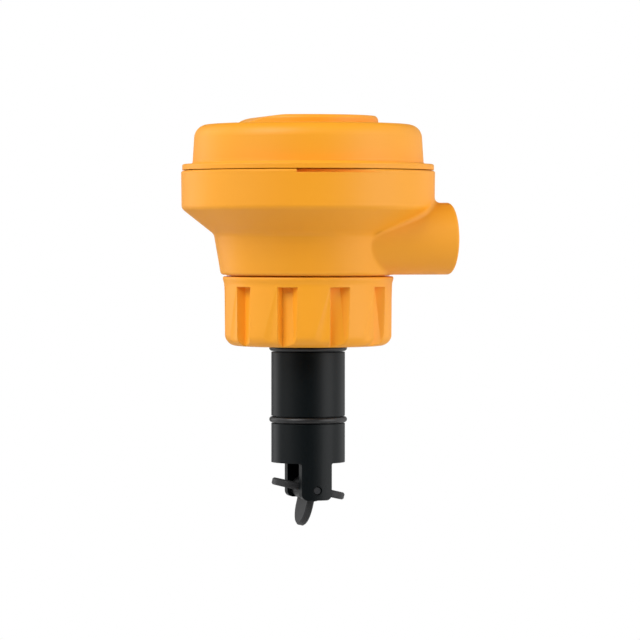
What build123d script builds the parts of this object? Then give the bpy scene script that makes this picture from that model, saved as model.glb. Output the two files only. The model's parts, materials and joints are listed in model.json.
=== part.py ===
from build123d import *
import math
import os

# Insertion paddlewheel flow sensor with an integral junction box.
# All lengths are millimetres and all angles are degrees.
# The origin is on the barrel's axis, at the lower end of its full cylinder.
# +Z points up to the junction box, +X is the way the conduit ports face,
# and the paddlewheel turns about an axis along Y.

# Running gaps and fits
running_gap = 0.3
slip_gap = 0.2
pin_fit = 0.05
ring_fit = 0.05
seal_fit = 0.1

# How far a cutting tool runs past a face, and how near two places count as one
overcut = 1.0
touch = 0.01

# Edges broken by less than this are chamfers, and larger ones are round
least_rounding = 0.7

# Sensor barrel
barrel_radius = 13.35
barrel_end_chamfer = 0.3
bore_radius = 9.0
bore_floor = 9.2
collar_step = 3.5
collar_thickness = 4.1
collar_slope = 1.4
gasket_width = 2.4
stub_radius = 13.4
stub_length = 13.0

# Rubber rings on the barrel
ring_section = 2.1
ring_proud = 0.75
groove_width = 2.8
lower_ring_height = 15.45
upper_ring_height = 41.25

# Fork that carries the paddlewheel
fork_gap = 16.4
leg_width = 11.2
leg_end = 3.5
leg_corner = 2.2
leg_root = 0.6
axle_drop = 9.7
axle_radius = 1.5875
axle_recess = 0.6

# Paddlewheel
blade_count = 4
blade_reach = 13.6
blade_gap = 0.7
blade_thickness = 2.6
blade_edge = 0.5
hub_radius = 4.2
wheel_rest_turn = 13.0
tip_gap = 0.7
magnet_radius = 2.4
magnet_thickness = 1.4
magnet_distance = 8.2

# Retaining nut
nut_bottom = 42.15
nut_height = 25.0
nut_wall = 9.8
nut_draft = 0.15
nut_lip = 0.5
nut_lip_height = 1.7
nut_bottom_corner = 4.2
nut_top_corner = 0.5
nut_thread_gap = 1.3
nut_shoulder = 5.9
nut_mouth_chamfer = 1.2
flute_count = 10
flute_first_angle = -90.0
flute_ceiling = 3.6
flute_depth_top = 2.6
flute_depth_foot = 1.2
flute_overcut = 4.0
flute_run_on = 1.5

# Angles of a flute's section, from its crease: wall edge, wall foot, flank foot, flank edge
flute_top_angles = (14.1, 9.2, 0.0, -3.2)
flute_foot_angles = (13.5, 12.5, -0.5, -13.0)

# Junction box base
base_step = 0.3
step_inset = 2.1
floor_thickness = 3.0
gasket_thickness = 1.0
wall = 3.0
foot_radius = 31.6
foot_flare = 2.5
waist_height = 14.65
shoulder_height = 23.85
rim_radius = 45.9
rim_height = 37.5
rim_draft = 0.15
rim_wall = 3.6
waist_fillet = 8.0
shoulder_fillet = 5.0
foot_fillet = 1.3
rim_edge = 0.5

# Conduit ports
port_radius = 12.95
port_spacing = 34.0
port_reach = 48.2
port_height = 13.05
port_thread_radius = 10.1
port_thread_length = 15.0
port_passage_radius = 8.0
port_edge = 1.0
port_blend = 2.0

# Finger notch under the cover's flange
notch_half_angle = 20.0
notch_height = 1.1
notch_depth = 2.2
notch_middle_depth = 1.5

# Cover
flange_inset = 0.4
flange_overhang = 3.7
flange_thickness = 2.1
flange_edge = 0.4
flange_fillet = 0.6
dome_draft = 0.9
dome_height = 17.05
dome_crown = 0.7
dome_corner = 5.0
cover_wall = 3.0
cover_top_wall = 3.0
skirt_depth = 7.6
skirt_fit = 0.4
skirt_edge = 0.6
pad_height = 2.45
pad_radius = 25.4
pad_left_inset = 0.2
pad_ramp = 12.4
pad_right_slope = 3.2
pad_edge = 1.4
seal_section = 2.0
seal_groove_width = 2.5
seal_drop = 3.6

# Lock nut, washer and board
lock_nut_wall = 5.6
lock_nut_thickness = 5.9
lock_nut_corner = 0.6
washer_rim = 5.6
washer_thickness = 1.2
board_gap = 4.95
board_thickness = 1.6
board_cutaway = 25.0
board_rise = 28.1
boss_angle = 60.0
boss_inset = 3.2
boss_radius = 3.2
boss_pilot_depth = 8.0
screw_radius = 1.4
screw_head_radius = 2.8
screw_head_height = 2.0
screw_head_edge = 0.8
screw_slot_length = 3.2
screw_slot_width = 0.7
screw_slot_depth = 1.1
screw_reach = 7.0

# Terminal block
pole_count = 6
pole_pitch = 5.08
block_depth = 10.0
block_height = 12.0
block_x = 14.0
block_ledge_width = 1.5
block_ledge_height = 3.0
terminal_screw_radius = 1.7
terminal_screw_length = 5.0
terminal_screw_drop = 1.0
terminal_slot_width = 0.6
terminal_slot_depth = 0.8
terminal_well_radius = 2.0
terminal_well_offset = 1.0
wire_entry = 3.2
wire_entry_depth = 5.0
wire_entry_rise = 2.0

# Board parts and the leads from the barrel
capacitor_radius = 4.0
capacitor_height = 10.5
capacitor_edge = 0.6
capacitor_x = -21.0
capacitor_spacing = 20.0
chip_length = 10.0
chip_width = 6.2
chip_height = 1.8
chip_edge = 0.4
chip_x = -5.5
chip_spacing = 22.0
lead_count = 3
lead_radius = 0.7
lead_pitch = 2.5
connector_height = 6.0
connector_length = 10.0
connector_width = 6.0
hall_board_width = 12.0
hall_board_height = 30.0
hall_board_thickness = 1.2
hall_chip = (4.1, 1.6, 3.0)
hall_board_lift = 0.3
potting_drop = 15.5

# Sizes and heights that follow from the sizes above
leg_drop = axle_drop + leg_end
axle_height = -axle_drop
blade_width = fork_gap - 2 * blade_gap
neck_radius = stub_radius + gasket_width
collar_radius = neck_radius + collar_step
nut_thread_radius = collar_radius + nut_thread_gap
nut_radius = nut_thread_radius + nut_wall
washer_radius = stub_radius + washer_rim
lock_nut_across_flats = 2 * (stub_radius + lock_nut_wall)
step_radius = foot_radius - step_inset
pad_left = pad_left_inset - pad_radius
pad_top_left = pad_left + pad_ramp
pad_top_right = pad_radius - pad_right_slope
nut_top = nut_bottom + nut_height
collar_top = nut_top - nut_shoulder - running_gap
neck_top = nut_top + running_gap
base_bottom = neck_top + base_step
chamber_floor = base_bottom + floor_thickness
port_axis = base_bottom + port_height
waist_radius = foot_radius + foot_flare
shoulder_radius = rim_radius - rim_draft
chamber_radius = rim_radius - rim_wall
chamber_foot_radius = shoulder_radius - rim_wall
rim_top = base_bottom + rim_height
flange_bottom = rim_top + running_gap
flange_top = flange_bottom + flange_thickness
dome_top = flange_bottom + dome_height
flange_radius = rim_radius - flange_inset
dome_radius = flange_radius - flange_overhang
dome_top_radius = dome_radius - dome_draft
skirt_radius = chamber_radius - skirt_fit
skirt_inner_radius = dome_top_radius - cover_wall + slip_gap
board_bottom = base_bottom + board_rise
board_top = board_bottom + board_thickness
board_radius = chamber_foot_radius - board_gap
boss_x = (board_radius - boss_inset) * math.cos(math.radians(boss_angle))
boss_y = (board_radius - boss_inset) * math.sin(math.radians(boss_angle))
board_spots = [(x, y) for x in (-boss_x, boss_x) for y in (-boss_y, boss_y)]
stub_top = neck_top + stub_length
potting_top = stub_top - potting_drop
leads_y = [(k - (lead_count - 1) / 2) * lead_pitch for k in range(lead_count)]


def turned(corners):
    """Turn a closed outline about Z. Each corner is (radius, height, how far its edge is broken)."""
    outline = Polyline([(r, z) for r, z, broken in corners], close=True)
    face = make_face(Plane.XZ * outline)
    for r, z, broken in corners:
        if broken > 0:
            spot = Vector(r, 0, z)
            nearest = face.vertices().sort_by(lambda v: (Vector(v.X, v.Y, v.Z) - spot).length)[0]
            face = fillet(nearest, broken) if broken > least_rounding else chamfer(nearest, broken)
    return revolve(face, Axis.Z, 360)


def ring(outer, inner, bottom, height):
    """A flat-sided ring about Z, from its lower face up."""
    band = Circle(outer) - Circle(inner)
    return extrude(Plane.XY.offset(bottom) * band, height)


def post(radius, bottom, height, x=0.0, y=0.0):
    """A round post that stands on the given height."""
    return extrude(Plane.XY.offset(bottom) * Pos(x, y) * Circle(radius), height)


def block(length, width, height, x, y, bottom):
    """A block with its centre at x and y that stands on the given height."""
    return Pos(x, y, bottom + height / 2) * Box(length, width, height)


def o_ring(centre_radius, section, height):
    """A rubber ring of round section about Z."""
    return Pos(0, 0, height) * Torus(centre_radius, section / 2)


def polar(radius, angle):
    """The point at a radius and an angle in degrees."""
    return Vector(radius * math.cos(math.radians(angle)), radius * math.sin(math.radians(angle)))


def barrel_rings():
    """The lower and upper rubber rings of the barrel."""
    centre_radius = barrel_radius + ring_proud - ring_section / 2
    lower = o_ring(centre_radius, ring_section, lower_ring_height)
    upper = o_ring(centre_radius, ring_section, upper_ring_height)
    return lower, upper


def sensor_barrel():
    """The moulded barrel with ring grooves, collar, neck, threaded stub and fork."""
    groove_radius = barrel_radius + ring_proud - ring_section - ring_fit
    corners = [(0, 0, 0), (barrel_radius - barrel_end_chamfer, 0, 0)]
    corners.append((barrel_radius, barrel_end_chamfer, 0))
    for height in (lower_ring_height, upper_ring_height):
        low = height - groove_width / 2
        high = height + groove_width / 2
        corners += [(barrel_radius, low, 0), (groove_radius, low, 0)]
        corners += [(groove_radius, high, 0), (barrel_radius, high, 0)]
    collar_bottom = collar_top - collar_thickness
    corners += [(barrel_radius, collar_bottom - collar_slope, 0), (collar_radius, collar_bottom, 0)]
    corners += [(collar_radius, collar_top, 0), (neck_radius, collar_top, 0)]
    corners += [(neck_radius, neck_top, 0), (stub_radius, neck_top, 0)]
    corners += [(stub_radius, stub_top, 0), (bore_radius, stub_top, 0)]
    corners += [(bore_radius, bore_floor, 0), (0, bore_floor, 0)]
    body = turned(corners)
    body += fork_legs()
    pocket = Rot(90, 0, 0) * Cylinder(blade_reach + tip_gap, fork_gap)
    body -= Pos(0, 0, axle_height) * pocket
    body -= axle(axle_radius + pin_fit / 2, 4 * barrel_radius)
    return body


def fork_legs():
    """The two legs below the barrel, cut from the barrel's own round outline."""
    cap = 2 * leg_root
    front = Pos(0, cap / 2) * Rectangle(2 * barrel_radius, cap)
    front += Pos(0, -leg_drop / 2) * Rectangle(leg_width, leg_drop)
    root = front.vertices().filter_by(lambda v: abs(v.Y) < touch and abs(v.X) < barrel_radius - overcut)
    front = fillet(root, leg_root)
    front = fillet(front.vertices().sort_by(Axis.Y)[:2], leg_corner)
    slab = extrude(Plane.XZ * front, 2 * barrel_radius, both=True)
    tall = leg_drop + cap
    envelope = post(barrel_radius, -leg_drop, tall)
    legs = slab & envelope
    return legs - block(4 * barrel_radius, fork_gap, leg_drop, 0, 0, -leg_drop)


def axle(radius, length):
    """A round bar along the paddlewheel's axis."""
    return Pos(0, 0, axle_height) * Rot(90, 0, 0) * Cylinder(radius, length)


def rotor_pin():
    """The ceramic pin, a little short of the legs' outer faces."""
    pin = axle(axle_radius, 2 * (barrel_radius - axle_recess))
    return chamfer(pin.edges(), axle_recess / 2)


def blade_places():
    """The four places round the axle, at the angle that the wheel rests at."""
    centre = Pos(0, 0, axle_height)
    return [centre * Rot(0, wheel_rest_turn + 360 / blade_count * k, 0) for k in range(blade_count)]


def magnet(clearance):
    """One disc magnet, flat in a blade that points along +X."""
    disc = Cylinder(magnet_radius + clearance, magnet_thickness + 2 * clearance)
    return Pos(magnet_distance, 0, 0) * disc


def rotor():
    """The paddlewheel: a hub and tongue-shaped blades with closed magnet pockets."""
    tongue_centre = blade_reach - blade_width / 2
    tongue = Pos(tongue_centre / 2, 0) * Rectangle(tongue_centre, blade_width)
    tongue += Pos(tongue_centre, 0) * Circle(blade_width / 2)
    tongue &= Pos(blade_reach, 0) * Rectangle(2 * blade_reach, blade_width)
    blade = extrude(tongue, blade_thickness / 2, both=True)
    rounded = blade.edges().filter_by(lambda e: abs(abs(e.center().Z) - blade_thickness / 2) < touch)
    tip = rounded.filter_by(lambda e: e.center().X > touch)
    blade = chamfer(tip, blade_edge)
    blade -= magnet(pin_fit)
    wheel = axle(hub_radius, fork_gap - 2 * running_gap)
    for place in blade_places():
        wheel += place * blade
    return wheel - axle(axle_radius + pin_fit, fork_gap + overcut)


def rotor_magnets():
    """One magnet in each blade."""
    return Compound(children=[place * magnet(0) for place in blade_places()])


def flute():
    """The hollow between two ribs of the nut, with its crease at angle 0.

    Its section has a steep wall on one side, a floor and a long flank on the other.
    It is deep and narrow under its ceiling, and shallow and wide at the nut's foot.
    """
    top = flute_section(flute_depth_top, flute_top_angles, nut_top - flute_ceiling)
    bottom = flute_section(flute_depth_foot, flute_foot_angles, nut_bottom - running_gap)
    return loft([top, bottom], ruled=True)


def flute_section(depth, angles, height):
    """A section of the flute. Wall and flank run on past the nut's surface."""
    wall_edge, wall_foot, flank_foot, flank_edge = angles
    wall_out = polar(nut_radius, wall_edge)
    wall_in = polar(nut_radius - depth, wall_foot)
    flank_in = polar(nut_radius - depth, flank_foot)
    flank_out = polar(nut_radius, flank_edge)
    wall_far = wall_in + (wall_out - wall_in) * flute_run_on
    flank_far = flank_in + (flank_out - flank_in) * flute_run_on
    crown = polar(nut_radius + flute_overcut, (wall_edge + flank_edge) / 2)
    outline = Polyline([wall_far, wall_in, flank_in, flank_far, crown], close=True)
    return Plane.XY.offset(height) * make_face(outline)


def retaining_nut():
    """The fluted nut that holds the barrel in its fitting."""
    lip_bottom = nut_top - nut_lip_height
    lip_radius = nut_radius + nut_lip
    shoulder_bottom = nut_top - nut_shoulder
    mouth = nut_thread_radius + nut_mouth_chamfer
    hole = neck_radius + running_gap
    corners = [(mouth, nut_bottom, 0), (nut_radius - nut_draft, nut_bottom, nut_bottom_corner)]
    corners += [(nut_radius, lip_bottom - nut_lip, 0), (lip_radius, lip_bottom, 0)]
    corners += [(lip_radius, nut_top, nut_top_corner), (hole, nut_top, 0)]
    corners += [(hole, shoulder_bottom, 0), (nut_thread_radius, shoulder_bottom, 0)]
    corners += [(nut_thread_radius, nut_bottom + nut_mouth_chamfer, 0)]
    nut = turned(corners)
    hollow = flute()
    for k in range(flute_count):
        nut -= Rot(0, 0, flute_first_angle + 360 / flute_count * k) * hollow
    return nut


def port_places():
    """The two conduit ports, side by side along +X."""
    return [Pos(0, side * port_spacing / 2, port_axis) for side in (-1, 1)]


def along_x(radius, start, end):
    """A round bar along X between two distances."""
    return Pos((start + end) / 2, 0, 0) * Rot(0, 90, 0) * Cylinder(radius, end - start)


def base_shell():
    """The outer form of the base: foot, waist, shoulder and rim with both ports."""
    waist = base_bottom + waist_height
    shoulder = base_bottom + shoulder_height
    corners = [(0, base_bottom, 0), (foot_radius, base_bottom, foot_fillet)]
    corners += [(waist_radius, waist, waist_fillet), (shoulder_radius, shoulder, shoulder_fillet)]
    corners += [(rim_radius, rim_top, rim_edge), (0, rim_top, 0)]
    shell = turned(corners)
    for place in port_places():
        port = along_x(port_radius, 0, port_reach)
        end = port.edges().sort_by(Axis.X)[-1]
        shell += place * fillet(end, port_edge)
    seams = shell.edges().filter_by(lambda e: e.geom_type not in (GeomType.CIRCLE, GeomType.LINE))
    room_between_ports = port_spacing - 2 * port_radius
    return fillet(seams, min(port_blend, room_between_ports / 4))


def base_chamber():
    """The hollow of the base, parallel to its outer form."""
    waist = base_bottom + waist_height + wall / 2
    shoulder = base_bottom + shoulder_height + wall / 2
    corners = [(0, chamber_floor, 0), (foot_radius - wall, chamber_floor, 0)]
    corners += [(waist_radius - wall, waist, 0)]
    skirt_foot = flange_bottom - skirt_depth - running_gap
    corners += [(chamber_foot_radius, shoulder, 0), (chamber_radius, skirt_foot, 0)]
    corners += [(chamber_radius, rim_top + overcut, 0), (0, rim_top + overcut, 0)]
    return turned(corners)


def finger_notch():
    """The shallow notch at the front of the rim, deep at one end and fading at the other."""
    low = rim_top - notch_height
    start = -90 - notch_half_angle
    end = -90 + notch_half_angle
    deep = polar(rim_radius - notch_depth, start)
    middle = polar(rim_radius - notch_middle_depth, -90)
    fade = polar(rim_radius, end)
    far = rim_radius + 2 * notch_depth
    back = ThreePointArc(deep, middle, fade)
    front = Polyline([fade, polar(far, end), polar(far, -90), polar(far, start), deep])
    face = make_face(Curve() + [back, front])
    return extrude(Plane.XY.offset(low) * face, 2 * notch_height)


def junction_base():
    """The moulded base with its chamber, ports, floor hole and board bosses."""
    shell = base_shell()
    body = shell + post(step_radius, neck_top, base_step)
    body -= base_chamber()
    hole = stub_radius + slip_gap
    body -= post(hole, neck_top - overcut, base_step + floor_thickness + 2 * overcut)
    body -= post(neck_radius + slip_gap, neck_top - overcut, overcut + gasket_thickness)
    for x, y in board_spots:
        boss = post(boss_radius, chamber_floor, board_bottom - chamber_floor, x, y)
        body += boss & shell
        body -= post(screw_radius + pin_fit, board_bottom - boss_pilot_depth, boss_pilot_depth, x, y)
    passage_start = foot_radius / 2
    for place in port_places():
        body -= place * along_x(port_passage_radius, passage_start, port_reach)
        body -= place * along_x(port_thread_radius, port_reach - port_thread_length, port_reach + overcut)
    return body - finger_notch()


def cover_pad():
    """The raised pad on the cover, with a long ramp on one side."""
    top = dome_top + pad_height
    bottom = dome_top - 2 * dome_crown - overcut
    foot = dome_top - dome_crown
    ramp = TangentArc((pad_top_left, top), (pad_left, foot), tangent=(-1, 0))
    rest = Polyline([(pad_left, foot), (pad_left, bottom), (pad_radius, bottom),
                     (pad_radius, foot), (pad_top_right, top), (pad_top_left, top)])
    side = make_face(Plane.XZ * (Curve() + [ramp, rest]))
    wedge = extrude(side, pad_radius, both=True)
    corners = [(0, bottom, 0), (pad_radius, bottom, 0), (pad_radius, top, pad_edge), (0, top, 0)]
    return wedge & turned(corners)


def cover():
    """The screw-on cover: flange, dome, skirt with a ring groove, and raised pad."""
    corner = dome_top - dome_crown
    groove_radius = chamber_radius - seal_fit - seal_section - ring_fit
    groove_high = flange_bottom - seal_drop + seal_groove_width / 2
    groove_low = groove_high - seal_groove_width
    skirt_bottom = flange_bottom - skirt_depth
    inner_top = dome_top - dome_crown - cover_top_wall
    corners = [(skirt_inner_radius, skirt_bottom, 0), (skirt_radius, skirt_bottom, skirt_edge)]
    corners += [(skirt_radius, groove_low, 0), (groove_radius, groove_low, 0)]
    corners += [(groove_radius, groove_high, 0), (skirt_radius, groove_high, 0)]
    corners += [(skirt_radius, flange_bottom, 0), (flange_radius, flange_bottom, 0)]
    corners += [(flange_radius, flange_top, flange_edge), (dome_radius, flange_top, flange_fillet)]
    corners += [(dome_top_radius, corner, dome_corner), (0, dome_top, 0)]
    corners += [(0, inner_top, 0), (skirt_inner_radius, inner_top, cover_top_wall)]
    return turned(corners) + cover_pad()


def cover_seal():
    """The rubber ring in the skirt's groove."""
    centre_radius = chamber_radius - seal_fit - seal_section / 2
    return o_ring(centre_radius, seal_section, flange_bottom - seal_drop)


def base_gasket():
    """The flat gasket between the barrel's neck and the base."""
    return ring(neck_radius, stub_radius + slip_gap, neck_top, gasket_thickness)


def lock_washer():
    """The washer on the chamber's floor."""
    return ring(washer_radius, stub_radius + slip_gap, chamber_floor, washer_thickness)


def sensor_lock_nut():
    """The hexagonal nut that clamps the base to the barrel."""
    bottom = chamber_floor + washer_thickness
    corner_radius = lock_nut_across_flats / math.sqrt(3)
    hexagon = extrude(Plane.XY.offset(bottom) * RegularPolygon(corner_radius, 6), lock_nut_thickness)
    dome = Cone(corner_radius + lock_nut_thickness, corner_radius - lock_nut_corner, lock_nut_thickness)
    hexagon &= Pos(0, 0, bottom + lock_nut_thickness / 2) * dome
    return hexagon - post(stub_radius + slip_gap, bottom - overcut, lock_nut_thickness + 2 * overcut)


def circuit_board():
    """The round board, cut away over the conduit ports."""
    keep = Pos(board_cutaway - board_radius, 0) * Rectangle(2 * board_radius, 2 * board_radius)
    disc = Circle(board_radius) & keep
    for x, y in board_spots:
        disc -= Pos(x, y) * Circle(screw_radius + slip_gap)
    return extrude(Plane.XY.offset(board_bottom) * disc, board_thickness)


def board_screw(x, y):
    """One pan-head screw with a cross slot, seated on the board."""
    head = post(screw_head_radius, board_top, screw_head_height, x, y)
    head = chamfer(head.edges().sort_by(Axis.Z)[-1], screw_head_edge)
    slot_floor = board_top + screw_head_height - screw_slot_depth
    for length, width in ((screw_slot_length, screw_slot_width), (screw_slot_width, screw_slot_length)):
        head -= block(length, width, screw_head_height, x, y, slot_floor)
    return head + post(screw_radius, board_top - screw_reach, screw_reach, x, y)


def board_screws():
    """The four screws that hold the board."""
    return Compound(children=[board_screw(x, y) for x, y in board_spots])


def pole_places():
    """The middle of each pole of the terminal block, along Y."""
    middle = (pole_count - 1) / 2
    return [(k - middle) * pole_pitch for k in range(pole_count)]


def terminal_block():
    """The terminal block, with a screw well and a wire entry for each pole."""
    length = pole_count * pole_pitch
    body = block(block_depth, length, block_height, block_x, 0, board_top)
    block_top = board_top + block_height
    mouth = block_x + block_depth / 2
    ledge_foot = block_top - block_ledge_height
    body -= block(2 * block_ledge_width, length + overcut, block_height, mouth, 0, ledge_foot)
    for y in pole_places():
        well = block_top - terminal_screw_drop - terminal_screw_length
        body -= post(terminal_well_radius, well, block_height, block_x - terminal_well_offset, y)
        body -= block(2 * wire_entry_depth, wire_entry, wire_entry, mouth, y, board_top + wire_entry_rise)
    return body


def terminal_screws():
    """One slotted screw for each pole, at the foot of its well."""
    top = board_top + block_height - terminal_screw_drop
    bottom = top - terminal_screw_length
    x = block_x - terminal_well_offset
    screws = []
    for y in pole_places():
        screw = post(terminal_screw_radius, bottom, terminal_screw_length, x, y)
        slot_length = 2 * terminal_screw_radius + overcut
        slot_floor = top - terminal_slot_depth
        slot = block(slot_length, terminal_slot_width, terminal_screw_length, x, y, slot_floor)
        screws.append(screw - slot)
    return Compound(children=screws)


def board_capacitors():
    """Two upright capacitors with bevelled tops."""
    cans = []
    for y in (-capacitor_spacing / 2, capacitor_spacing / 2):
        can = post(capacitor_radius, board_top, capacitor_height, capacitor_x, y)
        cans.append(chamfer(can.edges().sort_by(Axis.Z)[-1], capacitor_edge))
    return Compound(children=cans)


def board_chips():
    """Two flat chips on the board."""
    chips = []
    for y in (-chip_spacing / 2, chip_spacing / 2):
        chip = block(chip_width, chip_length, chip_height, chip_x, y, board_top)
        chips.append(chamfer(chip.edges().group_by(Axis.Z)[-1], chip_edge))
    return Compound(children=chips)


def lead_connector():
    """The header under the board that the barrel's leads plug into."""
    bottom = board_bottom - connector_height
    return block(connector_width, connector_length, connector_height, 0, 0, bottom)


def signal_leads():
    """Three leads from the small board in the barrel up to the header."""
    start = bore_floor + hall_board_lift + hall_board_height
    end = board_bottom - connector_height
    return Compound(children=[post(lead_radius, start, end - start, 0, y) for y in leads_y])


def hall_board():
    """The narrow board that stands in the barrel's bore."""
    bottom = bore_floor + hall_board_lift
    return block(hall_board_thickness, hall_board_width, hall_board_height, 0, 0, bottom)


def hall_sensor():
    """The sensing chip at the foot of the narrow board."""
    depth = (hall_board_thickness + hall_chip[1]) / 2
    return block(hall_chip[1], hall_chip[0], hall_chip[2], depth, 0, bore_floor + hall_board_lift)


def barrel_potting():
    """The potting that fills the barrel's bore round the board and leads."""
    filling = post(bore_radius - ring_fit, bore_floor, potting_top - bore_floor)
    filling -= hall_board()
    filling -= hall_sensor()
    filling -= block(hall_board_thickness, hall_board_width, 2 * hall_board_lift, 0, 0, bore_floor)
    for y in leads_y:
        filling -= post(lead_radius, bore_floor, potting_top, 0, y)
    return filling


lower_ring, upper_ring = barrel_rings()
pieces = {
    "sensor_barrel": sensor_barrel(),
    "lower_o_ring": lower_ring,
    "upper_o_ring": upper_ring,
    "rotor": rotor(),
    "rotor_magnets": rotor_magnets(),
    "rotor_pin": rotor_pin(),
    "retaining_nut": retaining_nut(),
    "junction_base": junction_base(),
    "cover": cover(),
    "cover_seal": cover_seal(),
    "base_gasket": base_gasket(),
    "lock_washer": lock_washer(),
    "sensor_lock_nut": sensor_lock_nut(),
    "circuit_board": circuit_board(),
    "board_screws": board_screws(),
    "terminal_block": terminal_block(),
    "terminal_screws": terminal_screws(),
    "board_capacitors": board_capacitors(),
    "board_chips": board_chips(),
    "lead_connector": lead_connector(),
    "signal_leads": signal_leads(),
    "hall_board": hall_board(),
    "hall_sensor": hall_sensor(),
    "barrel_potting": barrel_potting(),
}

os.makedirs("parts", exist_ok=True)
for name, shape in pieces.items():
    export_step(shape, f"parts/{name}.step")
    print(name, round(shape.volume, 1))
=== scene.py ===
# %% [markdown]
# # A paddlewheel flow sensor in Blender
# The sensor has a black barrel with a small paddlewheel at its foot, a fluted nut round it,
# and a yellow junction box on top. The solids come from the frame and are already in place.
# This lesson gives them their finish, adds the threads and the softened forms of the mouldings,
# and sets up the camera, the light and the floor.

# %% Load the frame
import json
import math

import bmesh
import bpy
from mathutils import Matrix, Vector


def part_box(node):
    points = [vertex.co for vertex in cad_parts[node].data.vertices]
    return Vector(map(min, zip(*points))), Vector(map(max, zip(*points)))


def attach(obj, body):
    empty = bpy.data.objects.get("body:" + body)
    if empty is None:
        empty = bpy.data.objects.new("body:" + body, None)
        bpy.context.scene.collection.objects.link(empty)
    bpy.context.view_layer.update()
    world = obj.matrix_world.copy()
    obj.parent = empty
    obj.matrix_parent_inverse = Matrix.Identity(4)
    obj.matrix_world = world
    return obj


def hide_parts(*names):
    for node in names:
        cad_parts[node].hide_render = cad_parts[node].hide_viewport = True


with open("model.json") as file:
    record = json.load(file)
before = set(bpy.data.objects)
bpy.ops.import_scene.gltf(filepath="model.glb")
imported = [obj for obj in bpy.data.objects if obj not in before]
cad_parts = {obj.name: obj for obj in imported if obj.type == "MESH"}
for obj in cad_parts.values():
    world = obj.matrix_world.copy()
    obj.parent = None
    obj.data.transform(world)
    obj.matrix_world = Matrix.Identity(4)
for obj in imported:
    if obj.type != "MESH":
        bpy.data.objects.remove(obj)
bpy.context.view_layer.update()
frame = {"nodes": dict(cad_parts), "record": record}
nodes = frame["nodes"]

# %% [markdown]
# Blender works in metres here, and small parts are easier to read in millimetres.
# One constant turns a millimetre value into metres wherever it is written.

# %% Units
mm = 0.001
print("one millimetre is", mm, "m")

# %% [markdown]
# The photograph was taken from far off with a long lens, 15 degrees left of the part's front
# and level with its ports. Its horizon lies above the middle of the picture. The camera could
# be shifted to match, but here it is simply aimed a little lower than it stands. The lens
# follows from the size of one millimetre in the picture and from how far round edges open up.

# %% Camera
image_width_px = 640
axis_px = 308.1
horizon_px = 231.0
focal_px = 3543.0
sensor_width = 36.0
camera_azimuth = math.radians(-15.0)
camera_distance = 1.282
camera_height = 83.55 * mm
forward = Vector((-math.sin(camera_azimuth), math.cos(camera_azimuth), 0))
to_right = Vector((math.cos(camera_azimuth), math.sin(camera_azimuth), 0))


def add_camera():
    """The photograph's camera."""
    metres_per_px = camera_distance / focal_px
    middle_px = image_width_px / 2
    level = Vector((0, 0, camera_height))
    target = level + to_right * (middle_px - axis_px) * metres_per_px
    target.z -= (middle_px - horizon_px) * metres_per_px
    data = bpy.data.cameras.new("photo_camera")
    data.sensor_width = sensor_width
    data.lens = focal_px / image_width_px * sensor_width
    camera = bpy.data.objects.new("photo_camera", data)
    camera.location = level - forward * camera_distance
    camera.rotation_euler = (target - camera.location).to_track_quat("-Z", "Y").to_euler()
    bpy.context.scene.collection.objects.link(camera)
    bpy.context.scene.camera = camera
    return camera


camera = add_camera()
print("lens", round(camera.data.lens, 1), "mm at", [round(x, 3) for x in camera.location])

# %% [markdown]
# Shader maths reads best as plain expressions. A `Signal` wraps one output socket, and adding
# or scaling signals adds the Math nodes for it. Each operator has a reflected form too, so that
# a plain number can stand first. Vectors go through Vector Math, because a Math node would
# average their three numbers into one.

# %% Signals
class Signal:
    """One output socket, with the operators that shader maths needs."""

    def __init__(self, finish, socket):
        self.finish = finish
        self.socket = socket

    def combine(self, operation, first, second):
        is_vector = self.socket.type == "VECTOR"
        kind = "ShaderNodeVectorMath" if is_vector else "ShaderNodeMath"
        return self.finish.node(kind, {"operation": operation}, {0: first, 1: second})

    def __add__(self, other):
        return self.combine("ADD", self, other)

    def __radd__(self, other):
        return self.combine("ADD", other, self)

    def __mul__(self, other):
        return self.combine("MULTIPLY", self, other)

    def __rmul__(self, other):
        return self.combine("MULTIPLY", other, self)


print("operators of a signal: + and *")

# %% [markdown]
# A `Finish` is one material in the making, or the world. Its `node` method adds any node:
# settings first, then the values or links of its sockets. The other methods are the few
# steps that nearly every finish takes: noise of a given size, a mix, a step and a bump.

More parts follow.
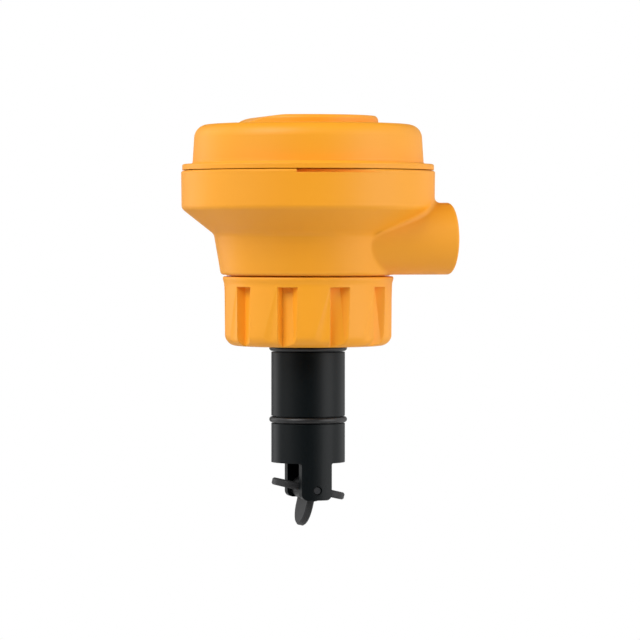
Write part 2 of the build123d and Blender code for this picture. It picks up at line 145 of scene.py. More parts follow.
# %% Finishes
class Finish:
    """A node tree being written, for a material or for the world."""

    def __init__(self, tree):
        self.tree = tree
        self.tree.nodes.clear()

    def node(self, kind, settings=None, sockets=None, output=0):
        """Adds a node, applies its settings, then fills its sockets. Returns one output."""
        made = self.tree.nodes.new(kind)
        for name, value in (settings or {}).items():
            setattr(made, name, value)
        for name, value in (sockets or {}).items():
            if isinstance(value, Signal):
                self.tree.links.new(value.socket, made.inputs[name])
            else:
                made.inputs[name].default_value = value
        if not made.outputs:
            return None
        return Signal(self, made.outputs[output])

    def mix(self, factor, first, second):
        """A colour between two colours, whose sockets are the seventh and eighth of the node."""
        settings = {"data_type": "RGBA"}
        return self.node("ShaderNodeMix", settings, {0: factor, 6: first, 7: second}, output=2)

    def ramp(self, signal, low, high):
        """A smooth step from 0 to 1 as the signal goes from low to high."""
        settings = {"interpolation_type": "SMOOTHSTEP"}
        return self.node("ShaderNodeMapRange", settings, {0: signal, 1: low, 2: high})

    def place(self):
        """The point on the piece, in metres in its own frame."""
        return self.node("ShaderNodeTexCoord", output="Object")

    def grain(self, size, detail=3.0, roughness=0.5):
        """Noise from 0 to 1 whose lumps are about this size in metres."""
        sockets = {"Vector": self.place(), "Scale": 1 / size, "Detail": detail, "Roughness": roughness}
        return self.node("ShaderNodeTexNoise", None, sockets)

    def bump(self, height, depth, soften=None):
        """A normal from a height signal from 0 to 1 that stands for a depth in metres."""
        sockets = {"Height": height, "Distance": depth, "Strength": 1.0}
        if soften is not None:
            sockets["Normal"] = soften
        return self.node("ShaderNodeBump", None, sockets)

    def soft_edges(self, radius):
        """A normal that rounds edges by this radius."""
        return self.node("ShaderNodeBevel", {"samples": bevel_samples}, {"Radius": radius})

    def close(self, sockets):
        """Ends the finish with the surface shader that has these values."""
        surface = self.node("ShaderNodeBsdfPrincipled", None, sockets)
        self.node("ShaderNodeOutputMaterial", None, {"Surface": surface})


def new_finish(name):
    """An empty material and its finish."""
    material = bpy.data.materials.new(name)
    material.use_nodes = True
    return material, Finish(material.node_tree)


bevel_samples = 6
print("a finish can", [name for name in vars(Finish) if not name.startswith("_")])

# %% [markdown]
# Colours are easiest to pick as they look on screen, from 0 to 255. Shaders take linear light
# instead, so one function converts them.

# %% Colours
def srgb(red, green, blue):
    """A colour as seen on screen, 0 to 255, made linear by the curve of the sRGB standard."""
    shares = [value / 255 for value in (red, green, blue)]
    linear = [x / 12.92 if x <= 0.04045 else ((x + 0.055) / 1.055) ** 2.4 for x in shares]
    return (*linear, 1.0)


white = (1.0, 1.0, 1.0, 1.0)
print("a mid grey is", [round(x, 3) for x in srgb(128, 128, 128)])

# %% [markdown]
# The junction box and the nut are moulded in a warm yellow-orange plastic. A spark-eroded
# mould leaves a very fine, even grain, which shows as a satin surface with soft highlights.
# One flat colour would look like paint. So the colour drifts a little where the plastic
# flowed, a faint darker speckle breaks it up, and the shader rounds edges as the mould does.

# %% Housing plastic
materials = {}


def housing_plastic():
    material, finish = new_finish("housing_plastic")
    flow = finish.grain(28 * mm, detail=2.0)
    speckle = finish.grain(0.5 * mm, detail=2.0)
    colour = finish.mix(flow, srgb(254, 167, 33), srgb(255, 172, 39))
    colour = finish.mix(speckle * 0.1, colour, srgb(232, 143, 28))
    rough = 0.42 + speckle * 0.06 + flow * 0.05
    grain = finish.grain(0.35 * mm, detail=2.0, roughness=0.6)
    waves = finish.bump(finish.grain(9 * mm, detail=1.0), 0.02 * mm, finish.soft_edges(0.35 * mm))
    normal = finish.bump(grain, 0.012 * mm, waves)
    finish.close({"Base Color": colour, "Roughness": rough, "Normal": normal, "Specular IOR Level": 0.4})
    return material


materials["housing_yellow"] = housing_plastic()
print("housing plastic", len(materials["housing_yellow"].node_tree.nodes), "nodes")

# %% [markdown]
# The barrel and its fork are one black moulding with a matt surface, and the paddlewheel is a
# greyer one. Black plastic shows little but the light that it mirrors, so its grain and its
# uneven gloss do all the work, and one recipe with two sets of values serves both.

# %% Black plastics
def black_plastic(name, dark, light, patch_size, patch_gloss, grain_size, gloss, sheen):
    """Black plastic whose grain stands out by a small share of its own size."""
    material, finish = new_finish(name)
    patch = finish.grain(patch_size, detail=3.0)
    fine = finish.grain(grain_size, detail=2.0, roughness=0.6)
    colour = finish.mix(patch, dark, light)
    rough = gloss + patch * patch_gloss + fine * 0.06
    normal = finish.bump(fine, grain_relief * grain_size, finish.soft_edges(0.2 * mm))
    surface = {"Base Color": colour, "Roughness": rough, "Normal": normal}
    finish.close({**surface, "Specular IOR Level": sheen})
    return material


grain_relief = 0.04
materials["barrel_black"] = black_plastic(
    "barrel_plastic", srgb(9, 14, 16), srgb(13, 18, 20),
    patch_size=14 * mm, patch_gloss=0.08, grain_size=0.25 * mm, gloss=0.3, sheen=0.2,
)
materials["rotor_black"] = black_plastic(
    "rotor_plastic", srgb(38, 38, 39), srgb(47, 47, 48),
    patch_size=8 * mm, patch_gloss=0.1, grain_size=0.2 * mm, gloss=0.34, sheen=0.3,
)
print("black plastics", [materials[slot].name for slot in ("barrel_black", "rotor_black")])

# %% [markdown]
# The sealing rings are smooth nitrile rubber. They are smoother than the barrel and a little
# greyer. A plain glossy black would look wet, so noise spreads a faint bloom of lighter dust
# over them, and the gloss drops where the bloom is.

# %% Rubber
def seal_rubber():
    material, finish = new_finish("seal_rubber")
    bloom = finish.grain(3 * mm, detail=4.0)
    fine = finish.grain(0.15 * mm, detail=2.0)
    colour = finish.mix(finish.ramp(bloom, 0.45, 0.8) * 0.35, srgb(20, 20, 21), srgb(52, 52, 54))
    rough = 0.3 + bloom * 0.14
    normal = finish.bump(fine, 0.004 * mm)
    finish.close({"Base Color": colour, "Roughness": rough, "Normal": normal, "Specular IOR Level": 0.5})
    return material


materials["seal_rubber"] = seal_rubber()
print("rubber", len(materials["seal_rubber"].node_tree.nodes), "nodes")

# %% [markdown]
# Metal parts share one recipe: a metal colour, fine turning lines, and a slight dulling in
# patches. A wave texture would draw the lines too, but they would repeat, so they come from
# noise that is squeezed along the axis. Only the colours and the gloss differ: the axle pin
# stands in water and is dull and dark, and the parts in the box are bright.

# %% Metals
def metal(name, light, dark, gloss):
    material, finish = new_finish(name)
    line_sockets = {"Vector": finish.place() * turning_stretch, "Scale": 1 / (0.6 * mm), "Detail": 3.0}
    lines = finish.node("ShaderNodeTexNoise", None, line_sockets)
    dull = finish.grain(5 * mm, detail=4.0)
    colour = finish.mix(dull, dark, light)
    rough = gloss + lines * 0.12 + dull * 0.08
    normal = finish.bump(lines, 0.004 * mm)
    finish.close({"Base Color": colour, "Metallic": 1.0, "Roughness": rough, "Normal": normal})
    return material


turning_stretch = (1.0, 1.0, 14.0)
steel_light = srgb(205, 206, 208)
steel_dark = srgb(160, 162, 165)
metals = {
    "pin_metal": metal("pin_metal", srgb(74, 75, 77), srgb(54, 55, 57), 0.42),
    "magnet_metal": metal("magnet_metal", steel_light, steel_dark, 0.2),
    "washer_steel": metal("washer_steel", steel_light, steel_dark, 0.3),
    "lock_nut_brass": metal("lock_nut_brass", srgb(226, 190, 110), srgb(190, 150, 78), 0.25),
    "screw_steel": metal("screw_steel", steel_light, steel_dark, 0.28),
    "capacitor_can": metal("capacitor_can", srgb(190, 192, 200), srgb(150, 152, 162), 0.3),
}
materials.update(metals)
print("metals", sorted(metals))

# %% [markdown]
# Inside the box are a lacquered board, moulded connectors, chips and potting. They are small
# and mostly hidden, but each still has a colour that varies and a surface of its own. Square
# cells of noise stand for the copper under the board's lacquer, in place of a drawn circuit.

# %% Small parts inside
def board_lacquer():
    """Green lacquer with brighter bands where copper runs below it."""
    material, finish = new_finish("board_lacquer")
    settings = {"feature": "F1", "distance": "CHEBYCHEV"}
    sockets = {"Vector": finish.place(), "Scale": 1 / (5 * mm)}
    cells = finish.node("ShaderNodeTexVoronoi", settings, sockets)
    copper = finish.ramp(cells, 0.3, 0.34)
    colour = finish.mix(copper, srgb(18, 92, 48), srgb(34, 118, 62))
    rough = 0.22 + finish.grain(0.4 * mm) * 0.1
    finish.close({"Base Color": colour, "Roughness": rough, "Normal": finish.bump(copper, 0.03 * mm)})
    return material


def moulding(name, light, dark, gloss, grain_size=0.3 * mm):
    """A small plain moulding with a fine grain."""
    material, finish = new_finish(name)
    patch = finish.grain(4 * mm)
    fine = finish.grain(grain_size)
    rough = gloss + patch * 0.12
    normal = finish.bump(fine, 0.01 * mm, finish.soft_edges(0.1 * mm))
    finish.close({"Base Color": finish.mix(patch, dark, light), "Roughness": rough, "Normal": normal})
    return material


small_parts = {
    "board_green": board_lacquer(),
    "terminal_green": moulding("terminal_green", srgb(40, 150, 84), srgb(28, 120, 66), 0.4),
    "connector_white": moulding("connector_white", srgb(236, 233, 222), srgb(220, 216, 204), 0.4),
    "chip_black": moulding("chip_black", srgb(40, 40, 42), srgb(28, 28, 30), 0.5),
    "lead_insulation": moulding("lead_insulation", srgb(196, 44, 36), srgb(168, 32, 26), 0.35),
    "potting_resin": moulding("potting_resin", srgb(58, 56, 54), srgb(44, 42, 40), 0.3, 1.5 * mm),
}
materials.update(small_parts)
print("small parts", sorted(small_parts))

# %% [markdown]
# Each solid names a material slot in the record, so one table from slot to material is enough
# to dress every node. Nothing has to be dressed by hand.

# %% Dress the nodes
for part in frame["record"]["subparts"]:
    slots = nodes[part["node"]].data.materials
    slots.clear()
    slots.append(materials[part["material_slot"]])
print("materials", len(materials))

# %% [markdown]
# Round pieces with detail all round them can be built as a stack of rings. Every ring has the
# same number of points, so neighbouring rings join with plain quads, and a feature that leans,
# such as the edge of a flute, is one column of points that shifts from ring to ring. Cutting
# the same forms out of a cylinder would leave uneven triangles along each cut.

# %% Rings into a mesh
def ring_mesh(name, rings, creased=lambda ring, column: False):
    """A closed skin over rings of points, the last ring joined to the first.

    Where creased says so, the edge from a point down to the next ring stays sharp.
    """
    shape = bmesh.new()
    points = [[shape.verts.new(point) for point in ring] for ring in rings]
    for level, ring in enumerate(points):
        below = points[(level + 1) % len(points)]
        for column, point in enumerate(ring):
            after = (column + 1) % len(ring)
            face = shape.faces.new((point, ring[after], below[after], below[column]))
            face.smooth = True
    for level, ring in enumerate(points):
        below = points[(level + 1) % len(points)]
        for column, point in enumerate(ring):
            if creased(level, column):
                shape.edges.get((point, below[column])).smooth = False
    bmesh.ops.recalc_face_normals(shape, faces=shape.faces)
    for edge in shape.edges:
        if edge.is_manifold and edge.calc_face_angle() > sharp_turn:
            edge.smooth = False
    mesh = bpy.data.meshes.new(name)
    shape.to_mesh(mesh)
    shape.free()
    return mesh


sharp_turn = math.radians(30)
print("edges that turn by more than", round(math.degrees(sharp_turn)), "degrees stay sharp")

# %% [markdown]
# Every piece that this lesson adds is housing plastic, so one helper turns a mesh into such a
# piece. Each piece then says which body of the frame it rides on, so that it moves with it,
# and which solid it takes the place of, if any.

# %% Add a piece
def add_piece(mesh):
    """A piece of housing plastic with this mesh and its name."""
    mesh.materials.clear()
    mesh.materials.append(materials["housing_yellow"])
    piece = bpy.data.objects.new(mesh.name, mesh)
    bpy.context.scene.collection.objects.link(piece)
    return piece


# %% [markdown]
# The nut's bore and the two ports are threaded. A profile swept along a helix would need
# trimming at both ends, so here the points of the bore's own wall are lifted instead. On a
# helix the height of a point depends on how far along the axis it is, plus its share of a
# turn. One function gives that height, with flats on crests and roots.

# %% Thread form
def thread_height(turns):
    """Height of a thread's surface, 0 at a root and 1 at a crest, after this many pitches."""
    flank = abs(2 * (turns % 1) - 1)
    return min(1, max(0, flank_slope * flank - root_flat))


def faded(place, start, end, fade):
    """1 between two ends, falling to 0 over a short way at each."""
    return min(1, max(0, min(place - start, end - place) / fade))


flank_slope = 1.35
root_flat = 0.18
thread_rows_per_pitch = 8
print("thread height by eighths", [round(thread_height(k / 8), 2) for k in range(8)])

# %% [markdown]
# The junction box has a slim waist, a cone and an upright rim. Its two bends look tighter than
# in the solid. Modelling the box again would lose the blended seams of its ports, so the
# solid's mesh is copied and only those bends are redrawn. Seen in section, each bend is an arc
# between two straight lines. A point keeps its share of the way along the old arc, and that
# share is walked again over a line, a smaller arc and a line.

# %% Bend sizes
base_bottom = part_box("junction_base")[0].z
foot_corner = Vector((31.6, 0.6)) * mm
waist_corner = Vector((34.1, 14.95)) * mm
shoulder_corner = Vector((45.75, 24.15)) * mm
rim_corner = Vector((45.9, 37.8)) * mm
old_waist_radius = 8 * mm
new_waist_radius = 3 * mm
old_shoulder_radius = 5 * mm
new_shoulder_radius = 2.6 * mm
bend_tolerance = 0.02 * mm
straight_share = 0.11
print("base stands from", round(base_bottom / mm, 2), "mm")

# %% [markdown]
# A small class holds one bend in section: its two directions, its turn, and both arcs. It can
# tell whether a point lies on the old arc, and where that point goes.

# %% Bends in section
class Bend:
    """A rounded corner of a turned outline, seen in section as radius and height."""

    def __init__(self, before, at, after, old, new):
        self.at = at
        self.enter = (at - before).normalized()
        self.leave = (after - at).normalized()
        self.turn = self.enter.angle(self.leave)
        self.side = 1 if self.enter.x * self.leave.y - self.enter.y * self.leave.x > 0 else -1
        self.old = old
        self.new = new
        self.old_reach = old * math.tan(self.turn / 2)
        self.new_reach = new * math.tan(self.turn / 2)

    def inward(self, direction):
        """The side that the arc bends towards."""
        return Vector((-direction.y, direction.x)) * self.side

    def turned(self, vector, angle):
        """A vector turned by an angle in the sense of the bend."""
        copy = vector.copy()
        copy.rotate(Matrix.Rotation(self.side * angle, 2))
        return copy

    def share_of(self, point):
        """How far along the old arc a point is, from 0 to 1, or None when it isn't on it."""
        centre = self.at - self.enter * self.old_reach + self.inward(self.enter) * self.old
        spoke = point - centre
        if abs(spoke.length - self.old) > bend_tolerance:
            return None
        angle = (-self.inward(self.enter)).angle(spoke)
        beyond = (-self.inward(self.leave)).angle(spoke)
        if max(angle, beyond) > self.turn + bend_tolerance:
            return None
        return angle / self.turn

    def redraw(self, share):
        """The new point and direction at a share of the way through the bend."""
        straight = self.old_reach - self.new_reach
        if share < straight_share:
            start = self.at - self.enter * self.old_reach
            return start + self.enter * straight * share / straight_share, self.enter
        if share > 1 - straight_share:
            left = (1 - share) / straight_share
            return self.at + self.leave * (self.old_reach - straight * left), self.leave
        angle = self.turn * (share - straight_share) / (1 - 2 * straight_share)
        centre = self.at - self.enter * self.new_reach + self.inward(self.enter) * self.new
        spoke = self.turned(-self.inward(self.enter) * self.new, angle)
        return centre + spoke, self.turned(self.enter, angle)


shell_bends = [
    Bend(foot_corner, waist_corner, shoulder_corner, old_waist_radius, new_waist_radius),
    Bend(waist_corner, shoulder_corner, rim_corner, old_shoulder_radius, new_shoulder_radius),
]
print("bends turn by", [round(math.degrees(bend.turn), 1) for bend in shell_bends], "degrees")

# %% [markdown]
# The copy has long, thin faces, which would show as streaks if its normals were made anew. So
# it keeps the shading normals that came with the solid, except on the redrawn bends. There
# each face corner whose normal was the old arc's gets the new arc's normal.

# %% The junction base
same_direction = 0.99


def outward(around, direction):
    """The outward normal of a turned surface whose section runs in this direction."""
    return Vector((around.x * direction.y, around.y * direction.y, -direction.x))


def redraw_bends(mesh):
    """Moves the points on the bends. Gives the old and new normal of each point that moved."""
    moved = {}
    for vertex in mesh.vertices:
        x, y, z = vertex.co
        section = Vector((math.hypot(x, y), z - base_bottom))
        around = Vector((x, y)).normalized()
        for bend in shell_bends:
            share = bend.share_of(section)
            if share is None:
                continue
            point, direction = bend.redraw(share)
            old_direction = bend.turned(bend.enter, bend.turn * share)
            vertex.co = (around.x * point.x, around.y * point.x, point.y + base_bottom)
            moved[vertex.index] = (outward(around, old_direction), outward(around, direction))
    return moved


def tight_base():
    """A copy of the base's solid with tighter bends at its waist and shoulder."""
    mesh = nodes["junction_base"].data.copy()
    mesh.name = "tight_base"
    normals = [corner.vector.copy() for corner in mesh.corner_normals]
    moved = redraw_bends(mesh)
    for loop in mesh.loops:
        if loop.vertex_index in moved:
            old_normal, new_normal = moved[loop.vertex_index]
            if normals[loop.index].dot(old_normal) > same_direction:
                normals[loop.index] = new_normal
    mesh.normals_split_custom_set(normals)
    base = add_piece(mesh)
    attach(base, "base")
    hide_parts("junction_base")
    print("points moved", len(moved))
    return base


base = tight_base()
print("base", len(base.data.polygons), "faces")

# %% [markdown]
# The retaining nut is turned by hand, so ten pockets are moulded into its wall as finger grips.
# Each has a flat ceiling, a steep wall under a vertical crest, a floor, and a far wall that
# melts away towards the foot. Left of the crest a shallow scooped flank widens downwards.
# Ten cuts out of a cylinder would not meet in such clean edges, so the wall is drawn by key
# lines: each is given at the ceiling and at the foot, and the rings follow it between them.

# %% Nut sizes
nut_low, nut_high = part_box("retaining_nut")
nut_bottom = nut_low.z
nut_top = nut_high.z
nut_radius = 30.4 * mm
nut_draft = 0.15 * mm
nut_lip = 0.5 * mm
nut_lip_height = 2.9 * mm
nut_foot_corner = 4.2 * mm
nut_top_corner = 0.5 * mm
nut_hole = 16.1 * mm
nut_shoulder = 5.9 * mm
nut_thread_radius = 20.6 * mm
nut_thread_rise = 0.6 * mm
nut_thread_pitch = 2.309 * mm
nut_mouth_chamfer = 1.2 * mm
pocket_ceiling = nut_top - 3.6 * mm
pocket_count = 10
first_pocket = -90
pocket_step = 360 / pocket_count
scoop_depth = 0.65 * mm
print("nut from", round(nut_bottom / mm, 2), "to", round(nut_top / mm, 2), "mm")
print("lip", round(nut_high.x / mm, 2), "mm from the axis")

# %% [markdown]
# A key line has an angle and a depth at the pocket's ceiling, then both again at the foot, in
# degrees and millimetres. Next come the number of columns of points up to the next line, and
# the form of the face between the two. A table is easier to tune than a drawn curve.

# %% Key lines of a pocket
pocket_lines = [
    ("flank edge", -0.4, 0.0, -13.0, 0.0, 8, "scoop"),
    ("crest", 0.0, 0.1, 0.0, 0.25, 2, "flat"),
    ("near foot", 1.75, 3.1, 1.75, 3.1, 8, "flat"),
    ("far foot", 9.4, 3.0, 11.4, 0.9, 4, "flat"),
    ("far edge", 14.3, 0.0, 12.9, 0.0, 10, "round"),
]
columns_after = {name: columns for name, *_, columns, form in pocket_lines}
columns_per_pocket = sum(columns_after.values())
print("columns after each line", columns_after, "in a ring", pocket_count * columns_per_pocket)

# %% [markdown]
# A ring of the outer wall visits the key lines of all ten pockets. Flat faces run straight from
# line to line, and the land between two pockets follows the nut's round surface.

# %% Nut rings
def nut_wall_radius(height):
    """Radius of the nut's round surface, with the corner at its foot rounded."""
    above_foot = height - nut_bottom
    radius = nut_radius - nut_draft * (1 - above_foot / (nut_top - nut_bottom))
    if above_foot < nut_foot_corner:
        drop = nut_foot_corner - above_foot
        radius -= nut_foot_corner - math.sqrt(nut_foot_corner ** 2 - drop ** 2)
    return radius


def around_axis(angle, radius):
    """A point in plan at an angle and a radius."""
    return Vector((math.cos(angle), math.sin(angle))) * radius


def wall_face(angle, depth, next_angle, next_depth, columns, form, down):
    """Points from one key line up to the next: a flat face, a shallow scoop or the round wall."""
    start = around_axis(angle, nut_radius - depth)
    end = around_axis(next_angle, nut_radius - next_depth)
    points = []
    for k in range(columns):
        share = k / columns
        if form == "flat":
            points.append(start.lerp(end, share))
            continue
        radius = nut_radius - depth + (depth - next_depth) * share
        if form == "scoop":
            radius -= scoop_depth * down * math.sin(math.pi * share)
        points.append(around_axis(angle + (next_angle - angle) * share, radius))
    return points


def pocket_ring(height, cut):
    """One ring of the outer wall. With cut 0 the pockets are left out, but the points line up."""
    down = min(1, max(0, (pocket_ceiling - height) / (pocket_ceiling - nut_bottom)))
    wall = nut_wall_radius(height)
    ring = []
    for pocket in range(pocket_count):
        start = first_pocket + pocket_step * pocket
        places = []
        for _, top_angle, top_depth, foot_angle, foot_depth, columns, form in pocket_lines:
            angle = math.radians(start + top_angle + (foot_angle - top_angle) * down)
            depth = cut * (top_depth + (foot_depth - top_depth) * down) * mm
            places.append((angle, depth, columns, form if cut else "round"))
        next_pocket = places[0][0] + math.radians(pocket_step)
        places.append((next_pocket, 0.0, 0, "round"))
        for (angle, depth, columns, form), (next_angle, next_depth, *_) in zip(places, places[1:]):
            face = wall_face(angle, depth, next_angle, next_depth, columns, form, down)
            ring += [(*(point * min(1, wall / point.length)), height) for point in face]
    return ring


def round_ring(radius, height, columns_at):
    """A plain ring, with its points on the columns that the wall has at another height."""
    flats = [Vector(point[:2]).normalized() * radius for point in pocket_ring(columns_at, 0)]
    return [(point.x, point.y, height) for point in flats]


print("points in a ring", len(pocket_ring(pocket_ceiling, 1)))

# %% [markdown]
# The nut holds the sensor down in its fitting: its thread pulls, and the shoulder in its bore
# presses on the barrel's collar. It could be several pieces laid together, but one closed skin
# leaves no seam. Its rings go down the outside, in under the foot, up the threaded bore, in
# over the shoulder, and up the hole to the top. In the bore, a point's radius follows the helix.

# %% The retaining nut
wall_rows = 16
corner_rows = 8
lip_rows = 5
edge_step = 0.3 * nut_top_corner


def nut_top_rings():
    """Rings over the top edge and the soft lip, down to the pockets' ceiling."""
    lip = nut_radius + nut_lip
    rings = [round_ring(lip - nut_top_corner, nut_top, nut_top)]
    rings.append(round_ring(lip - edge_step, nut_top - edge_step, nut_top))
    for k in range(lip_rows + 1):
        ease = (1 + math.cos(math.pi * k / lip_rows)) / 2
        height = nut_top - nut_top_corner - (nut_lip_height - nut_top_corner) * k / lip_rows
        rings.append(round_ring(nut_radius + nut_lip * ease, height, nut_top))
    rings.append(pocket_ring(pocket_ceiling, 0))
    return rings


def nut_wall_rings():
    """Rings down the wall with its pockets, and round the corner at the foot."""
    straight_foot = nut_bottom + nut_foot_corner
    drop = pocket_ceiling - straight_foot
    heights = [pocket_ceiling - drop * k / wall_rows for k in range(wall_rows + 1)]
    for k in range(1, corner_rows + 1):
        heights.append(straight_foot - nut_foot_corner * math.sin(math.pi / 2 * k / corner_rows))
    return [pocket_ring(height, 1) for height in heights]


def nut_bore_rings():
    """Rings from the mouth up the thread to the shoulder, then up the hole to the top face."""
    mouth = nut_bottom + nut_mouth_chamfer
    shoulder = nut_top - nut_shoulder
    rings = [round_ring(nut_thread_radius + nut_mouth_chamfer, nut_bottom, nut_bottom)]
    rows = round((shoulder - mouth) / nut_thread_pitch * thread_rows_per_pitch)
    for k in range(rows + 1):
        height = mouth + (shoulder - mouth) * k / rows
        rise = nut_thread_rise * faded(height, mouth, shoulder, nut_thread_pitch)
        ring = []
        for x, y, z in round_ring(nut_thread_radius, height, nut_bottom):
            turns = height / nut_thread_pitch - math.atan2(y, x) / math.tau
            scale = 1 - rise * thread_height(turns) / nut_thread_radius
            ring.append((x * scale, y * scale, z))
        rings.append(ring)
    rings.append(round_ring(nut_hole, shoulder, nut_bottom))
    rings.append(round_ring(nut_hole, nut_top, nut_bottom))
    return rings


def fluted_nut():
    """The whole nut, in the place of its solid. Its key lines stay sharp down to the foot."""
    top_rings = nut_top_rings()
    first_cut = len(top_rings)
    counts = list(columns_after.values())
    key_columns = {sum(counts[:k]) for k in range(len(counts))}

    def creased(level, column):
        cut = first_cut <= level < first_cut + wall_rows
        return cut and column % columns_per_pocket in key_columns

    rings = top_rings + nut_wall_rings() + nut_bore_rings()
    nut = add_piece(ring_mesh("fluted_nut", rings, creased))
    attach(nut, "retaining_nut")
    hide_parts("retaining_nut")
    return nut


nut = fluted_nut()
print("nut", len(nut.data.polygons), "faces")

# %% [markdown]
# The two ports take threaded glands, and the solid leaves their bores plain. Cutting threads
# into the box's own mesh would break up its faces, so each bore gets a thin sleeve with the
# thread on its inside. The back of the sleeve lies hidden in the port's wall.

# %% Port threads
port_thread_radius = 10.1 * mm
port_thread_pitch = 1.814 * mm
port_thread_rise = 0.6 * mm
port_thread_start = 33.3 * mm
port_thread_end = 47.6 * mm
port_side = 17 * mm
port_level = 80.8 * mm
sleeve_back = 0.8 * mm
sleeve_skin = 0.03 * mm
sleeve_columns = 96


def port_ring(side, along, radius_at):
    """One ring of a sleeve, whose radius may change from column to column."""
    ring = []
    for column in range(sleeve_columns):
        angle = math.tau * column / sleeve_columns
        radius = radius_at(column / sleeve_columns)
        ring.append((along, side + radius * math.cos(angle), port_level + radius * math.sin(angle)))
    return ring


def port_sleeve(name, side):
    """A sleeve from just inside the port's bore to well behind it, threaded on its inside."""
    root = port_thread_radius - sleeve_skin
    length = port_thread_end - port_thread_start
    rows = round(length / port_thread_pitch * thread_rows_per_pitch)
    rings = [port_ring(side, port_thread_start, lambda turn: root + sleeve_back)]
    for k in range(rows + 1):
        along = port_thread_start + length * k / rows
        rise = port_thread_rise * faded(along, port_thread_start, port_thread_end, port_thread_pitch)
        pitches = along / port_thread_pitch
        rings.append(port_ring(side, along, lambda turn: root - rise * thread_height(pitches - turn)))
    rings.append(port_ring(side, port_thread_end, lambda turn: root + sleeve_back))
    sleeve = add_piece(ring_mesh(name, rings))
    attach(sleeve, "base")
    return sleeve


sleeves = [port_sleeve("near_port_thread", -port_side), port_sleeve("far_port_thread", port_side)]
print("port sleeves", [len(sleeve.data.polygons) for sleeve in sleeves], "faces")

# %% [markdown]
# The picture has a pure white background and no visible shadow, and yet the plastic isn't lit
# from all round: its front is lit from above, its flanks shine, and its undersides are dim.
# So the world is white where the camera looks past the part, and where a shiny edge mirrors
# the backdrop. For all other light it holds soft lobes at the part's two sides and a faint one
# behind it. A picture of a studio could stand in for the lobes, but they are easier to tune.

# %% World
backdrop_glow = 0.05
right_glow = 0.88
left_glow = 0.38
backdrop_spread = (-0.2, 0.7)
side_spread = (0.2, 0.8)
mirror_spread = (0.9, 1.0)


def lobe(finish, axis, spread):
    """A soft patch of sky round an axis. The spread says at which cosines it starts and is full."""
    sockets = {0: finish.node("ShaderNodeTexCoord", output="Generated"), 1: axis}
    cosine = finish.node("ShaderNodeVectorMath", {"operation": "DOT_PRODUCT"}, sockets, output="Value")
    return finish.ramp(cosine, *spread)


def ray_kinds(finish):
    """Whether a ray comes straight from the camera, and whether it was mirrored or let through."""
    from_camera = finish.node("ShaderNodeLightPath", output="Is Camera Ray")
    mirrored = finish.node("ShaderNodeLightPath", output="Is Glossy Ray")
    let_through = finish.node("ShaderNodeLightPath", output="Is Transmission Ray")
    return from_camera, mirrored + let_through


def light_world():
    world = bpy.data.worlds.new("studio")
    bpy.context.scene.world = world
    world.use_nodes = True
    finish = Finish(world.node_tree)
    level = backdrop_glow * lobe(finish, forward, backdrop_spread)
    level = level + right_glow * lobe(finish, to_right, side_spread)
    level = level + left_glow * lobe(finish, -to_right, side_spread)
    studio = finish.node("ShaderNodeBackground", None, {"Color": white, "Strength": level})
    backdrop = finish.node("ShaderNodeBackground", None, {"Color": white, "Strength": 1.0})
    from_camera, mirrored = ray_kinds(finish)
    seen = from_camera + mirrored * lobe(finish, forward, mirror_spread)
    mixed = finish.node("ShaderNodeMixShader", None, {0: seen, 1: studio, 2: backdrop})
    finish.node("ShaderNodeOutputWorld", None, {"Surface": mixed})
    return world


world = light_world()
print("world", world.name, "with", len(world.node_tree.nodes), "nodes")

# %% [markdown]
# The floor lies well below the part. A plane up to the horizon would draw a line behind it, so
# this one keeps the part's soft shadow in its middle and fades into the white background at
# its edge. From below it is clear, and the part shows through it.

# %% Floor
floor_height = -160 * mm
floor_radius = 450 * mm
fade_start = 0.45 * floor_radius
fade_end = 0.95 * floor_radius


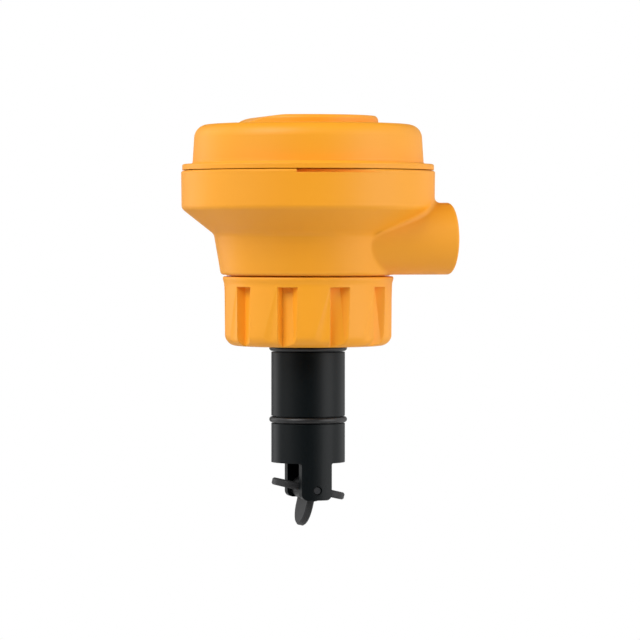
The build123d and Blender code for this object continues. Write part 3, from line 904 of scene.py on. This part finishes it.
def floor_material():
    """Paper that whitens towards its edge, and that is clear when it is looked at from below."""
    material, finish = new_finish("floor_paper")
    length = {"operation": "LENGTH"}
    distance = finish.node("ShaderNodeVectorMath", length, {0: finish.place()}, output="Value")
    from_camera, mirrored = ray_kinds(finish)
    edge = finish.ramp(distance, fade_start, fade_end) * (from_camera + mirrored)
    paper = finish.node("ShaderNodeBsdfDiffuse", None, {"Color": srgb(235, 235, 235)})
    glow = finish.node("ShaderNodeEmission", None, {"Color": white, "Strength": 1.0})
    mixed = finish.node("ShaderNodeMixShader", None, {0: edge, 1: paper, 2: glow})
    from_below = finish.node("ShaderNodeNewGeometry", output="Backfacing")
    clear = finish.node("ShaderNodeBsdfTransparent")
    sided = finish.node("ShaderNodeMixShader", None, {0: from_below, 1: mixed, 2: clear})
    finish.node("ShaderNodeOutputMaterial", None, {"Surface": sided})
    return material


def add_floor():
    mesh = bpy.data.meshes.new("floor")
    shape = bmesh.new()
    bmesh.ops.create_circle(shape, cap_ends=True, radius=floor_radius, segments=96)
    shape.to_mesh(mesh)
    shape.free()
    mesh.materials.append(floor_material())
    floor = bpy.data.objects.new("floor", mesh)
    floor.location.z = floor_height
    bpy.context.scene.collection.objects.link(floor)
    return floor


floor = add_floor()
print("floor at", round(floor.location.z / mm), "mm")

# %% [markdown]
# The main light is a soft box high on the left of the camera, and a weak one above the camera
# fills in. Three tall boxes stand left, right and behind the left shoulder of the part. A bare
# point of light would be mirrored as a dot, but a box of some height draws a bright band along
# each flank of the barrel, and leaves its middle nearly black.

# %% Lights
lamp_target = Vector((0, 0, 60 * mm))
square_box = (0.8, 0.8)


def soft_box(name, azimuth, height, distance, size, power):
    """An area light that looks at the part's middle from an azimuth round it, in degrees."""
    angle = math.radians(azimuth)
    data = bpy.data.lights.new(name, "AREA")
    data.shape = "RECTANGLE"
    data.size, data.size_y = size
    data.energy = power
    lamp = bpy.data.objects.new(name, data)
    lamp.location = (math.sin(angle) * distance, -math.cos(angle) * distance, height)
    lamp.rotation_euler = (lamp_target - lamp.location).to_track_quat("-Z", "Y").to_euler()
    bpy.context.scene.collection.objects.link(lamp)
    return lamp


lamps = [
    soft_box("high_left_box", -60, 0.95, 0.95, square_box, 11.8),
    soft_box("high_front_box", -15, 0.95, 0.95, square_box, 1.4),
    soft_box("left_box", -85, 0.35, 1.1, (0.7, 1.2), 1.6),
    soft_box("right_box", 50, 0.3, 1.1, (0.8, 1.2), 5.4),
    soft_box("back_left_box", -135, 0.3, 1.1, (0.7, 1.2), 3.0),
]
print("lamps", [lamp.name for lamp in lamps])

# %% [markdown]
# The picture is shown as the colours are written, with no film look.

# %% Finish
bpy.context.scene.view_settings.view_transform = "Standard"
